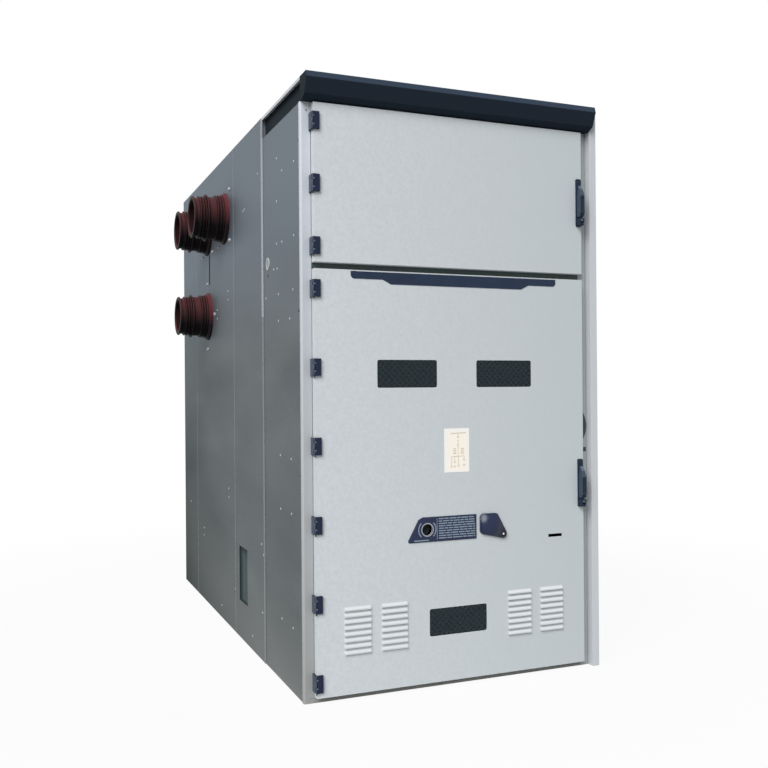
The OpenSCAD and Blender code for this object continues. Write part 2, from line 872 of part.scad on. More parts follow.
module louvre_banks() {
  color(door_grey) from_corner()
    for (x = bank_offsets) translate([cab_w / 2 + x, 0, louvre_z]) louvre_bank();
}

module window_panes() {
  color([0.13, 0.16, 0.18]) from_corner() forward(door_front + door_sheet + pane_t, pane_t)
    for (at = window_places) translate(at)
      rounded(window_w + 2 * pane_lap, window_h + 2 * pane_lap, window_r);
}

// Strip under the upper edge of the lower door, deeper in its middle
module rating_strip() {
  top = door_foot + lower_door_h - strip_drop;
  right = strip_x + strip_w;
  left_step = strip_x + strip_end_l;
  right_step = right - strip_end_l;
  foot = top - strip_end_h;
  color(navy) from_corner() forward(door_front, plate_t) {
    polygon([
      [strip_x, top], [strip_x, foot + strip_r], [strip_x + strip_r, foot], [left_step, foot],
      [left_step + strip_slant, top - strip_mid_h], [right_step - strip_slant, top - strip_mid_h],
      [right_step, foot], [right - strip_r, foot], [right, foot + strip_r], [right, top]
    ]);
    for (x = [strip_x + strip_r, right - strip_r]) translate([x, foot + strip_r]) circle(strip_r);
  }
}

module diagram_card() {
  color("white") from_corner() forward(door_front, plate_t / 2)
    translate([card_x, card_z]) square([card_w, card_h]);
}

// Outline of the operating plate with rounded corners on its left, drawn in by t
module plate_outline(t) {
  sharp = 1.7;
  low = plate_z + plate_r;
  high = plate_z + plate_h - plate_r;
  right = plate_x - plate_r;
  cut = [plate_x - plate_top_w + plate_r / 2, high];
  round_outline([[plate_x - plate_foot_w + sharp * plate_r, low], [right, low], [right, high],
                 cut, cut - [plate_cut, plate_cut / 2]], plate_r - t);
  translate([right, plate_z + t]) square([plate_r - t, plate_h - 2 * t]);
}

// Moulded plate with a bevel in one step round its edge
module operating_plate() {
  base = plate_raise - plate_bevel;
  color([0.19, 0.19, 0.40]) from_corner() difference() {
    union() {
      forward(door_front, base) plate_outline(0);
      forward(door_front - base, plate_bevel) plate_outline(plate_bevel);
    }
    forward(door_front + tiny, plate_raise + 2 * tiny)
      translate([crank_x, plate_mid_z]) circle(d = crank_d);
  }
}

module crank_ring() {
  color("silver") from_corner() forward(door_front - plate_raise, plate_t) translate([crank_x, plate_mid_z])
    difference() {
      circle(d = crank_d + 2 * ring_w);
      circle(d = crank_d);
    }
}

// Outline of the swivel cover with rounded corners, drawn in by t
module cover_outline(t) {
  left = cover_x - cover_side + cover_r;
  top = cover_z + cover_edge - cover_r;
  foot = cover_eye.y + cover_rise;
  round_outline([[left, foot], cover_eye, [cover_x + cover_side, top], [left, top]], cover_r - t);
}

// Cover that swings about a boss near its upper left corner, with an eye at its lower right
module swivel_cover() {
  boss_gap = 0.5;
  base = cover_t - cover_bevel;
  color(navy) from_corner() {
    difference() {
      union() {
        forward(door_front - boss_gap, base) cover_outline(0);
        forward(door_front - boss_gap - base, cover_bevel) cover_outline(cover_bevel);
      }
      forward(door_front, 2 * cover_t) translate(cover_eye) circle(d = eye_d);
    }
    translate([cover_x, door_front - boss_gap - cover_t + joint, cover_z]) rotate([90, 0, 0])
      cylinder(r = 8, h = 3 + joint);
  }
}

hub_r = 13;
hub_l = 26;
hub_gap = 0.3;
tongue_w = 7;
tongue_reach = 6;
lift_pin_r = 2;
heel_r = 13;
lift_up = hub_r + heel_r + 2;
lift_y = door_front - handle_t - hub_gap - tiny - heel_r;

// Base plate of a swing handle at height z, with rounded ends
module handle_base(z) {
  forward(door_front, handle_t) translate([handle_x, z + handle_h / 2]) rounded(handle_w, handle_h, 6);
}

// Turning hub of a swing handle: a drum, a tongue for the lever and its pin
module handle_hub(z) {
  back = door_front - handle_t - hub_gap;
  pin_l = 2 * hub_r - 6;
  translate([handle_x, 0, z + handle_pivot]) {
    translate([0, back, 0]) rotate([90, 0, 0]) cylinder(r = hub_r, h = hub_l);
    box([-tongue_w / 2, lift_y - tongue_reach, 0],
        [tongue_w / 2, lift_y + tongue_reach, lift_up + tongue_reach]);
    translate([-pin_l / 2, lift_y, lift_up]) rotate([0, 90, 0]) cylinder(r = lift_pin_r, h = pin_l);
  }
}

// Lever of a swing handle: forked at its round heel, flat in front with a finger recess, tapered to its nose
module handle_lever(z) {
  root = 11;
  nose = 3;
  shoulder = 7;
  back = lift_y + heel_r;
  front = back - lever_bulge;
  foot = lift_up - heel_r - tiny;
  slot = tongue_w / 2 + 0.5;
  recess = [7, 3, 10];
  translate([handle_x, 0, z + handle_pivot]) difference() {
    intersection() {
      forward(0, handle_t + 4 * lever_bulge) polygon([
        [-root, foot], [root, foot], [root, lever_l * 0.7], [shoulder, lever_l - 8], [nose, lever_l],
        [-nose, lever_l], [-shoulder, lever_l - 8], [-root, lever_l * 0.7]
      ]);
      across(-root, root) {
        polygon([
          [back, lift_up], [back, lever_l], [back - 8, lever_l], [back - lever_bulge * 0.7, lever_l * 0.88],
          [front, lever_l * 0.7], [front, lift_up + 6], [front + 8, lift_up - heel_r + 5],
          [lift_y, lift_up - heel_r]
        ]);
        translate([lift_y, lift_up]) circle(heel_r);
      }
    }
    box([-slot, lift_y - tongue_reach - 3, foot - tiny], [slot, back + tiny, lift_up + tongue_reach + 3]);
    box([-slot, front - tiny, foot - tiny], [slot, back + tiny, lift_up]);
    translate([-2 * root, lift_y, lift_up]) rotate([0, 90, 0])
      cylinder(r = lift_pin_r + pin_clear, h = 4 * root);
    box([-recess.x, front - tiny, lift_up + recess.z], [recess.x, front + recess.y, lever_l * 0.64]);
  }
}

module upper_handle_base() {
  color(navy) from_corner() handle_base(upper_handle);
}

module upper_handle_hub() {
  color(navy) from_corner() handle_hub(upper_handle);
}

module upper_handle_lever() {
  color(navy) from_corner() handle_lever(upper_handle);
}

module lower_handle_base() {
  color(navy) from_corner() handle_base(lower_handle);
}

module lower_handle_hub() {
  color(navy) from_corner() handle_hub(lower_handle);
}

module lower_handle_lever() {
  color(navy) from_corner() handle_lever(lower_handle);
}

base_frame();
floor_plate();
left_stile();
right_stile();
front_sill();
door_rail();
head_rail();
canopy();
canopy_lid();
left_front_panel();
left_mid_panel();
left_rear_panel();
left_end_panel();
right_front_panel();
right_rear_panel();
right_front_cover();
right_rear_cover();
side_tray();
side_plug();
control_shelf();
control_back();
breaker_back();
left_rear_post();
right_rear_post();
rear_upper_cover();
rear_lower_cover();
roof_front_plate();
roof_mid_plate();
roof_rear_plate();
bushing_upper_front();
bushing_upper_rear();
bushing_lower_rear();
hinge_frame_leaves();
upper_door();
upper_hinge_leaves();
upper_handle_base();
upper_handle_hub();
upper_handle_lever();
lower_door();
lower_hinge_leaves();
louvre_banks();
window_panes();
rating_strip();
diagram_card();
operating_plate();
crank_ring();
swivel_cover();
lower_handle_base();
lower_handle_hub();
lower_handle_lever();
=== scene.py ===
import bmesh
import bpy
import json
import math
import random
from mathutils import Matrix, Vector


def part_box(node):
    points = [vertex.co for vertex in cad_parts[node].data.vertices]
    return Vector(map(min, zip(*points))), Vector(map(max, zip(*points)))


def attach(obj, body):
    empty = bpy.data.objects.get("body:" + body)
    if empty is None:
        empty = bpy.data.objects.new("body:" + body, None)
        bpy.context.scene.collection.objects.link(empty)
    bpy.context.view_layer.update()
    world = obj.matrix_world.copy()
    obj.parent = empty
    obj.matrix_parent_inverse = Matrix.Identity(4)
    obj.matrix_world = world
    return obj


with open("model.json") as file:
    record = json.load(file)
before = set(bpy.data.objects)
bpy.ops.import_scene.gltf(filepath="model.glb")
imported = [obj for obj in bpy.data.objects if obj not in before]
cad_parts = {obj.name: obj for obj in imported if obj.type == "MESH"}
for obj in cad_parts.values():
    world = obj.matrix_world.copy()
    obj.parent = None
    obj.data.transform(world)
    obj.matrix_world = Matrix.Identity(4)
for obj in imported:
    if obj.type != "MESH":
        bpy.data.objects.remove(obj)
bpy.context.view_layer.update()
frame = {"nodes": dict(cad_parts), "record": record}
nodes = frame["nodes"]

# Places below are in millimetres from the left side, the front frame and the floor
mm = 0.001
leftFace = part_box("left_stile")[0][0]
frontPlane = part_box("left_stile")[0][1]
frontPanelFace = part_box("left_front_panel")[0][0]
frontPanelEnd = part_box("left_front_panel")[1][1]
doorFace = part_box("lower_door")[0][1]
random.seed(7)


def onSide(y, z):
    depth = frontPlane + y * mm
    return Vector((frontPanelFace if depth < frontPanelEnd else leftFace, depth, z * mm))


def onDoor(x, z):
    return Vector((leftFace + x * mm, doorFace, z * mm))


def middleOf(name):
    low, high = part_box(name)
    return Vector([(a + b) / 2 for a, b in zip(low, high)])


# Materials

def hexLinear(code):
    channels = [int(code[i:i + 2], 16) / 255 for i in (1, 3, 5)]
    return (*[c / 12.92 if c <= 0.04045 else ((c + 0.055) / 1.055) ** 2.4 for c in channels], 1.0)


def addNode(tree, kind, settings, links):
    node = tree.nodes.new(kind)
    for name, value in settings.items():
        if isinstance(name, int) or name in node.inputs:
            node.inputs[name].default_value = value
        else:
            setattr(node, name, value)
    for name, source in links.items():
        tree.links.new(source, node.inputs[name])
    return node


def newFinish(name, sockets):
    finish = bpy.data.materials.new(name)
    finish.use_nodes = True
    shader = finish.node_tree.nodes["Principled BSDF"]
    for socket, value in sockets.items():
        shader.inputs[socket].default_value = value
    return finish, finish.node_tree, shader


def perMetre(sizeMm):
    return 1 / (sizeMm * mm)


def objectPlace(tree):
    return addNode(tree, "ShaderNodeTexCoord", {}, {}).outputs["Object"]


def surfaceNormal(tree):
    return addNode(tree, "ShaderNodeNewGeometry", {}, {}).outputs["Normal"]


def share(tree, source, direction, start, end):
    # How far a place or a normal has gone along a direction, from 0 to 1
    reach = addNode(tree, "ShaderNodeVectorMath", {"operation": "DOT_PRODUCT", 1: direction}, {0: source})
    ramp = addNode(tree, "ShaderNodeMapRange", {"From Min": start, "From Max": end},
                   {"Value": reach.outputs["Value"]})
    return ramp.outputs[0]


def blend(tree, first, second, factor):
    settings, links = {"data_type": "RGBA"}, {0: factor}
    for socket, tint in ((6, first), (7, second)):
        if isinstance(tint, str):
            settings[socket] = hexLinear(tint)
        else:
            links[socket] = tint
    return addNode(tree, "ShaderNodeMix", settings, links).outputs[2]


def paint(tree, shader, tint):
    if isinstance(tint, str):
        shader.inputs["Base Color"].default_value = hexLinear(tint)
    else:
        tree.links.new(tint, shader.inputs["Base Color"])


def roughen(tree, shader, place, sizeMm, strength, detail):
    noise = addNode(tree, "ShaderNodeTexNoise", {"Scale": perMetre(sizeMm), "Detail": detail},
                    {"Vector": place})
    bump = addNode(tree, "ShaderNodeBump", {"Strength": strength, "Distance": mm},
                   {"Height": noise.outputs["Fac"]})
    tree.links.new(bump.outputs["Normal"], shader.inputs["Normal"])


def aluminiumZincSheet():
    # Hot-dip coated sheet: dull grey metal with cloudy patches and a fine rolled grain. Painted light lies
    # over it:
    # a painted cool reflection of the sky high up, a painted pale bounce from the ground low down, and
    # painted shade towards its rear foot
    look = {"dark": "#575c5d", "light": "#838889", "cloudMm": 420, "cloudStretch": (1, 0.3, 1), "grainMm": 14,
            "grain": 0.36, "roughness": (0.44, 0.6), "grazing": "#a2a8a8", "shade": "#3c4141",
            "shadeAlong": (0, 0.25, -0.35), "shadeFrom": -0.25, "shadeTo": 0.42, "sky": "#868d96",
            "skyAlong": (0, 0, 1), "skyFrom": 1.45, "skyTo": 2.05, "ground": "#909191",
            "groundAlong": (0, 0.12, -1), "groundFrom": -0.5, "groundTo": -0.12}
    finish, tree, shader = newFinish("aluminiumZincSheet", {"Metallic": 1.0,
                                                            "Specular Tint": hexLinear(look["grazing"])})
    place = objectPlace(tree)
    stretch = addNode(tree, "ShaderNodeVectorMath", {"operation": "MULTIPLY", 1: look["cloudStretch"]},
                      {0: place})
    cloud = addNode(tree, "ShaderNodeTexNoise", {"Scale": perMetre(look["cloudMm"]), "Detail": 3.0},
                    {"Vector": stretch.outputs[0]})
    grain = addNode(tree, "ShaderNodeTexNoise", {"Scale": perMetre(look["grainMm"]), "Detail": 2.0},
                    {"Vector": place})
    both = addNode(tree, "ShaderNodeMath", {"operation": "MULTIPLY_ADD", 1: look["grain"]},
                   {0: grain.outputs["Fac"], 2: cloud.outputs["Fac"]})
    tint = blend(tree, look["dark"], look["light"], both.outputs[0])
    # Painted bounce low down, painted shade towards the rear foot, painted sky reflection high up
    for key in ("ground", "shade", "sky"):
        reach = share(tree, place, look[key + "Along"], look[key + "From"], look[key + "To"])
        tint = blend(tree, tint, look[key], reach)
    paint(tree, shader, tint)
    rough = addNode(tree, "ShaderNodeMapRange",
                    {"To Min": look["roughness"][0], "To Max": look["roughness"][1]},
                    {"Value": cloud.outputs["Fac"]})
    tree.links.new(rough.outputs[0], shader.inputs["Roughness"])
    return finish


def powderCoat(name, colour, roughness, gloss, cloud=None, right=None, foot=None, tilted=None, left=None,
               hoods=None):
    # Polyester powder baked on sheet: satin, with an orange peel drawn coarse enough to show
    look = {"peelMm": 9, "peel": 0.06, "cloudMm": 13, "rightFrom": -0.6, "rightTo": 0.7, "footFrom": 2.3,
            "footTo": 0.0, "tiltFrom": 0.1, "tiltTo": 0.4, "leftFrom": 0.4, "leftTo": 0.9}
    finish, tree, shader = newFinish(name, {"Roughness": roughness, "IOR": 1.5, "Specular IOR Level": gloss})
    place = objectPlace(tree)
    normal = surfaceNormal(tree)
    tint = colour
    if cloud:
        mottle = addNode(tree, "ShaderNodeTexNoise", {"Scale": perMetre(look["cloudMm"]), "Detail": 2.0},
                         {"Vector": place})
        tint = blend(tree, tint, cloud, mottle.outputs["Fac"])
    # Painted light: right is painted shade towards the right, tilted a painted sheen on faces turned up, left
    # painted shade on faces turned left; foot only shifts the tone towards the foot
    tints = ((right, place, (1, 0, 0), "right"), (foot, place, (0, 0, 1), "foot"),
             (tilted, normal, (0, 0, 1), "tilt"), (left, normal, (-1, 0, 0), "left"))
    for other, source, along, key in tints:
        if other:
            tint = blend(tree, tint, other, share(tree, source, along, look[key + "From"], look[key + "To"]))
    if hoods:
        # Pressed hoods in rows, with a painted highlight along each crown and painted shade at its lip and
        # its root
        height = addNode(tree, "ShaderNodeSeparateXYZ", {}, {0: place}).outputs["Z"]
        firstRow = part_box("louvre_banks")[0][2] + hoods["marginMm"] * mm
        row = addNode(tree, "ShaderNodeMath", {"operation": "SUBTRACT", 1: firstRow}, {0: height})
        half = hoods["pitchMm"] * mm / 2
        wave = addNode(tree, "ShaderNodeMath", {"operation": "PINGPONG", 1: half}, {0: row.outputs[0]})
        crest = addNode(tree, "ShaderNodeMapRange",
                        {"From Min": half * hoods["lip"], "From Max": half * hoods["full"]},
                        {"Value": wave.outputs[0]})
        crown = blend(tree, hoods["edge"], hoods["crown"], crest.outputs[0])
        tint = blend(tree, tint, crown, share(tree, normal, (0, 0, 1), look["tiltFrom"], look["tiltTo"]))
    paint(tree, shader, tint)
    roughen(tree, shader, place, look["peelMm"], look["peel"], detail=1.0)
    return finish


def coatedZincCasting(name, colour, roughness, gloss, left=None, under=None, top=None):
    # Die-cast zinc under a thin coat: dark and smooth, with a painted highlight on faces turned to the light
    # and painted shade, black, below
    look = {"grainMm": 4, "grain": 0.08, "leftFrom": 0.1, "leftTo": 0.8, "underFrom": 0.2, "underTo": 0.8,
            "topFrom": 0.15, "topTo": 0.5}
    finish, tree, shader = newFinish(name, {"Roughness": roughness, "IOR": 1.5, "Specular IOR Level": gloss})
    place = objectPlace(tree)
    normal = surfaceNormal(tree)
    tint = colour
    for other, along, key in ((left, (-1, 0, 0), "left"), (under, (0, 0, -1), "under"),
                              (top, (0, 0, 1), "top")):
        if other:
            tint = blend(tree, tint, other, share(tree, normal, along, look[key + "From"], look[key + "To"]))
    paint(tree, shader, tint)
    roughen(tree, shader, place, look["grainMm"], look["grain"], detail=2.0)
    return finish


def printedPlastic(name, dark, light, roughness, gloss=0.5):
    # Ink printed under a semi-gloss face: flat colour with a faint cloud in the ink
    look = {"cloudMm": 60}
    finish, tree, shader = newFinish(name, {"Roughness": roughness, "IOR": 1.58, "Specular IOR Level": gloss})
    place = objectPlace(tree)
    cloud = addNode(tree, "ShaderNodeTexNoise", {"Scale": perMetre(look["cloudMm"]), "Detail": 1.0},
                    {"Vector": place})
    paint(tree, shader, blend(tree, dark, light, cloud.outputs["Fac"]))
    return finish


def mouldedAbs(name, colour):
    # Glossy moulding whose face swells a little, so that it takes a highlight on its upper left
    look = {"roughness": 0.25, "gloss": 0.28, "swell": -6.5}
    finish, tree, shader = newFinish(name, {"Base Color": hexLinear(colour), "Roughness": look["roughness"],
                                            "IOR": 1.54, "Specular IOR Level": look["gloss"]})
    place = objectPlace(tree)
    reach = addNode(tree, "ShaderNodeVectorMath", {"operation": "DISTANCE", 1: middleOf("swivel_cover")},
                    {0: place})
    square = addNode(tree, "ShaderNodeMath", {"operation": "POWER", 1: 2.0}, {0: reach.outputs["Value"]})
    height = addNode(tree, "ShaderNodeMath", {"operation": "MULTIPLY", 1: look["swell"]},
                     {0: square.outputs[0]})
    bump = addNode(tree, "ShaderNodeBump", {"Strength": 1.0, "Distance": 1.0}, {"Height": height.outputs[0]})
    tree.links.new(bump.outputs["Normal"], shader.inputs["Normal"])
    return finish


def castEpoxyResin():
    # Cast red-brown epoxy with painted light: a painted red highlight on the flange and where light falls on
    # it, and painted shade, nearly black, below
    look = {"dark": "#1b1719", "light": "#502f30", "flange": "#6e373c", "roughness": 0.42, "gloss": 0.02,
            "litAlong": (0, -0.55, 0.83), "litFrom": 0.1, "litTo": 1.0, "flangeMm": 45}
    finish, tree, shader = newFinish("castEpoxyResin", {"Roughness": look["roughness"], "IOR": 1.55,
                                                        "Specular IOR Level": look["gloss"]})
    place = objectPlace(tree)
    normal = surfaceNormal(tree)
    near = share(tree, place, (1, 0, 0), leftFace - look["flangeMm"] * mm, leftFace)
    tint = blend(tree, look["light"], look["flange"], near)
    lit = share(tree, normal, look["litAlong"], look["litTo"], look["litFrom"])
    paint(tree, shader, blend(tree, tint, look["dark"], lit))
    return finish


def shadedTray():
    # Coated sheet inside the side opening: painted shade beside the rim, paler further in
    look = {"rim": "#2c3436", "inside": "#576366", "fromMm": 8, "toMm": 24, "roughness": 0.5, "gloss": 0.1}
    finish, tree, shader = newFinish("trayZincSheet", {"Roughness": look["roughness"],
                                                       "Specular IOR Level": look["gloss"]})
    place = objectPlace(tree)
    inward = share(tree, place, (1, 0, 0), leftFace + look["fromMm"] * mm, leftFace + look["toMm"] * mm)
    paint(tree, shader, blend(tree, look["rim"], look["inside"], inward))
    return finish


def plainFinish(name, colour, roughness, metallic=0.0, gloss=0.5):
    # Small parts of one even colour: moulded plastic, rubber, ink or plated screws
    return newFinish(name, {"Base Color": hexLinear(colour), "Roughness": roughness, "Metallic": metallic,
                            "Specular IOR Level": gloss})[0]


# Smoked pane: dark body that lets a little light through, weak reflection
smokedPane = newFinish("smokedPolycarbonate", {"Base Color": hexLinear("#222b2e"), "Roughness": 0.12,
                                               "IOR": 1.58, "Specular IOR Level": 0.12, "Alpha": 0.8})[0]

# Door paint: a faint random cloud, and painted shade towards the right
doorCoat = {"colour": "#bbc1c4", "roughness": 0.48, "gloss": 0.4, "cloud": "#d0d5d8", "right": "#b8bfc2"}
# Louvre hoods: painted highlight on the crowns, painted shade at their lips and roots
louvreHoods = {"edge": "#a6acaf", "crown": "#d3d7d9", "pitchMm": 26, "marginMm": 5, "lip": 0.2, "full": 0.9}
finishes = {
    "galvanised": aluminiumZincSheet(),
    "frame_paint": powderCoat("framePowderCoat", "#bec2c6", 0.45, 0.3),
    # Doors: painted sheen on faces turned up
    "door_paint": powderCoat("doorPowderCoat", **doorCoat, tilted="#d8dcdd"),
    "rail_paint": powderCoat("railPowderCoat", "#3a4847", 0.5, 0.3),
    # Canopy: painted sheen on faces turned up, painted shade on faces turned left
    "canopy_paint": powderCoat("canopyPowderCoat", "#252d37", 0.5, 0.01, tilted="#3d4a5b", left="#1e252a"),
    # Hinges: painted highlight on faces turned left, painted shade on faces turned down
    "hinge_metal": coatedZincCasting("hingeZincCasting", "#252b3f", 0.4, 0.08, left="#4a5360",
                                     under="#16181a"),
    "handle_metal": coatedZincCasting("handleZincCasting", "#202b3a", 0.36, 0.1),
    "strip_plastic": printedPlastic("stripPolycarbonate", "#242e41", "#2a364b", 0.35, 0.1),
    "plate_plastic": printedPlastic("plateAcrylic", "#252b44", "#323a52", 0.32, 0.1),
    "card_plastic": printedPlastic("cardPolycarbonate", "#efede9", "#f3efe8", 0.4),
    "cover_plastic": mouldedAbs("coverMouldedAbs", "#182441"),
    "bright_zinc": plainFinish("brightZincPlate", "#9a9da6", 0.35, 1.0),
    "plug_plastic": plainFinish("plugMouldedNylon", "#a4aaa8", 0.5),
    "window_glass": smokedPane,
    "bushing_resin": castEpoxyResin(),
}
trayZinc = shadedTray()
plateInk = plainFinish("paleScreenInk", "#7f8e9c", 0.5, gloss=0.2)
cardInk = plainFinish("brownScreenInk", "#c4b8a2", 0.6)
cardTint = plainFinish("creamScreenInk", "#f6eee2", 0.5)
meshWire = plainFinish("galvanisedWire", "#273236", 0.5, gloss=0.1)
darkJointAndShade = plainFinish("blackJointAndShade", "#1b1e1f", 0.7, gloss=0.2)
sealRubber = plainFinish("greyRubber", "#a9aeb0", 0.7, gloss=0.2)
boreShadePaint = plainFinish("paintedBoreShade", "#2c191b", 0.6, gloss=0.0)
shutterSteelAndShade = plainFinish("darkShutterSteelAndShade", "#454d4e", 0.6, gloss=0.1)
zincScrew = plainFinish("zincScrewHead", "#a6abad", 0.5, 0.5)
edgeHighlight = plainFinish("paintedEdgeHighlight", "#a2a6aa", 0.5)
faintEdgeHighlight = plainFinish("faintPaintedEdgeHighlight", "#80858a", 0.5, gloss=0.3)
lockZinc = plainFinish("lockZincCasting", "#556170", 0.35, 0.4)
plugGrey = plainFinish("plugGreyNylon", "#858b8b", 0.5)
# Left stile: the paint turns greyer towards its foot
stilePaint = powderCoat("stilePowderCoat", "#c3c8d0", 0.45, 0.3, foot="#929492")
# Painted shade: the right stile in a darker copy of the frame paint, for the shade beside the door
shadedRightStilePaint = powderCoat("shadedRightStilePowderCoat", "#a6abad", 0.45, 0.2)
# Levers: painted highlight on faces turned left and up
leverZinc = coatedZincCasting("leverZincCasting", "#222e3c", 0.36, 0.12, left="#384552", top="#5d6876")
louvrePaint = powderCoat("louvrePowderCoat", **doorCoat, hoods=louvreHoods)
# Painted shade: the sill under the doors in a darker grey
shadedSillPaint = plainFinish("shadedSillPowderCoat", "#8a8b87", 0.55, gloss=0.2)
print("finishes:", len(bpy.data.materials))

# Pieces whose finish differs from that of their slot
ownFinishes = {"side_tray": trayZinc, "front_sill": shadedSillPaint, "left_stile": stilePaint,
               "right_stile": shadedRightStilePaint, "louvre_banks": louvrePaint, "upper_handle_lever": leverZinc,
               "lower_handle_lever": leverZinc}
for part in frame["record"]["subparts"]:
    for slot in nodes[part["node"]].material_slots:
        slot.material = ownFinishes.get(part["node"], finishes[part["material_slot"]])


# Small rounds on the edges of folded, cast and moulded pieces

edgeRounds = {
    2.0: ["upper_door", "canopy", "right_front_cover", "right_rear_cover"],
    1.5: ["swivel_cover", "upper_handle_base", "lower_handle_base", "upper_handle_lever",
          "lower_handle_lever"],
    1.2: ["lower_door", "hinge_frame_leaves", "upper_hinge_leaves", "lower_hinge_leaves"],
    0.8: ["operating_plate", "left_mid_panel", "canopy_lid", "upper_handle_hub", "lower_handle_hub"],
}
roundWay = {"mergeMm": 0.01, "flatDegrees": 1, "edgeDegrees": 40, "segments": 2}


def roundEdges(piece, width):
    weld = piece.modifiers.new("weld", "WELD")
    weld.merge_threshold = roundWay["mergeMm"] * mm
    flat = piece.modifiers.new("flat", "DECIMATE")
    flat.decimate_type = "DISSOLVE"
    flat.angle_limit = math.radians(roundWay["flatDegrees"])
    edge = piece.modifiers.new("edge", "BEVEL")
    edge.width = width
    edge.segments = roundWay["segments"]
    edge.limit_method = "ANGLE"
    edge.angle_limit = math.radians(roundWay["edgeDegrees"])
    edge.harden_normals = True


for widthMm, names in edgeRounds.items():
    for name in names:
        roundEdges(nodes[name], widthMm * mm)
print("edges rounded on", sum(len(names) for names in edgeRounds.values()), "pieces")


# Pieces too small for the solids

def addPiece(name, shape, finish, body):
    mesh = bpy.data.meshes.new(name)
    bmesh.ops.recalc_face_normals(shape, faces=shape.faces)
    shape.to_mesh(mesh)
    shape.free()
    mesh.materials.append(finish)
    piece = bpy.data.objects.new(name, mesh)
    bpy.context.scene.collection.objects.link(piece)
    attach(piece, body)
    return piece


def addBlock(shape, low, high):
    size = [b - a for a, b in zip(low, high)]
    middle = [(a + b) / 2 for a, b in zip(low, high)]
    bmesh.ops.create_cube(shape, size=1, matrix=Matrix.Translation(middle) @ Matrix.Diagonal((*size, 1)))


def addHead(shape, base, outward, radius, height, top=0.6, sides=12):
    turn = Vector((0, 0, 1)).rotation_difference(Vector(outward)).to_matrix().to_4x4()
    middle = Vector(base) + Vector(outward) * height / 2
    bmesh.ops.create_cone(shape, cap_ends=True, segments=sides, radius1=radius, radius2=radius * top,
                          depth=height, matrix=Matrix.Translation(middle) @ turn)


def addStroke(shape, start, end, width, height, outward):
    # A raised line of ink or wire between two points, on a face that looks outward
    outward = Vector(outward)
    across = outward.cross((end - start).normalized()) * width / 2
    rim = [start - across, end - across, end + across, start + across]
    low = [shape.verts.new(p) for p in rim]
    high = [shape.verts.new(p + outward * height) for p in rim]
    shape.faces.new(low)
    shape.faces.new(high)
    for i in range(4):
        shape.faces.new((low[i], low[(i + 1) % 4], high[(i + 1) % 4], high[i]))


def addArc(shape, middle, radius, startDeg, endDeg, width, height, steps=14):
    points = []
    for i in range(steps + 1):
        a = math.radians(startDeg + (endDeg - startDeg) * i / steps)
        points.append(middle + Vector((math.cos(a), 0, math.sin(a))) * radius)
    for a, b in zip(points, points[1:]):
        addStroke(shape, a, b, width, height, (0, -1, 0))


# Wire mesh on the outside of the panes
windowMesh = {"pitch": 27, "wire": 6, "thick": 0.6, "gap": 0.2, "width": 276, "height": 115,
              "places": {"leftWindowMesh": (463.5, 1368), "rightWindowMesh": (936.5, 1368),
                         "lowerWindowMesh": (700, 288)}}


def addWindowMesh(name, x, z):
    shape = bmesh.new()
    width, height = windowMesh["width"] * mm, windowMesh["height"] * mm
    wire, thick, pitch = (windowMesh[key] * mm for key in ("wire", "thick", "pitch"))
    corner = onDoor(x, z) - Vector((width / 2, 0, height / 2))
    corner.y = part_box("window_panes")[0][1] - windowMesh["gap"] * mm
    for i in range(int((width + height) / pitch) + 1):
        c = i * pitch
        for lean in (1, -1):
            start = c - height if lean > 0 else c
            low = max(0, -start) if lean > 0 else max(0, start - width)
            high = min(height, width - start) if lean > 0 else min(height, start)
            if high - low > wire:
                layer = 0 if lean > 0 else -thick
                a = corner + Vector((start + lean * low, layer, low))
                b = corner + Vector((start + lean * high, layer, high))
                addStroke(shape, a, b, wire, thick, (0, -1, 0))
    addPiece(name, shape, meshWire, "breaker_door")


for name, (x, z) in windowMesh["places"].items():
    addWindowMesh(name, x, z)
print("window meshes:", len(windowMesh["places"]))

# Rivets and screws on the left side, as depth and height, with a few empty holes
sideRivets = {
    "pale": [(370, 2348), (103, 2273), (284, 2275), (698, 2351), (374, 2155), (109, 1960), (378, 1964),
             (291, 1960), (428, 1853), (369, 1850), (126, 1732), (351, 1733), (566, 1734), (176, 1611),
             (354, 1613), (338, 1010), (170, 1005), (338, 770), (169, 768), (667, 560), (631, 514),
             (330, 280), (158, 279), (655, 233), (1372, 759), (1373, 710), (2510, 562), (2071, 446),
             (2072, 400), (1224, 234), (1568, 71), (854, 72), (1360, 1849), (1356, 1801), (1000, 2224),
             (968, 2228), (1642, 1768), (1644, 1718)],
    "dark": [(31, 2344), (529, 1837), (41, 1633), (30, 945), (25, 239)],
    "radius": 6, "height": 2, "holeShadeRadius": 8, "holeShadeHeight": 0.5,
}


def addSideRivets():
    shape = bmesh.new()
    for y, z in sideRivets["pale"]:
        addHead(shape, onSide(y, z), (-1, 0, 0), sideRivets["radius"] * mm, sideRivets["height"] * mm)
    addPiece("sideRivets", shape, zincScrew, "cabinet")
    # Painted shade in the empty holes: thin dark discs on the side
    shape = bmesh.new()
    for y, z in sideRivets["dark"]:
        addHead(shape, onSide(y, z), (-1, 0, 0), sideRivets["holeShadeRadius"] * mm, sideRivets["holeShadeHeight"] * mm)
    addPiece("sideHoleShade", shape, darkJointAndShade, "cabinet")


addSideRivets()

# Sheet edges that stand a little proud where the side panels meet, pale with a painted highlight, brighter
# high up and fainter elsewhere, and a dark joint between the rear bushings: depth, how far out, foot and top
endSeam = (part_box("left_end_panel")[0][1] - frontPlane) / mm
panelEdges = {"thick": 4, "brightLine": [(612, 5, 1650, 2590)],
              "faintLine": [(612, 3, 0, 1650), (1217, 1, 0, 2590), (endSeam, 0.4, 0, 2590)],
              "dark": [(1848, 4, 1940, 2113)]}


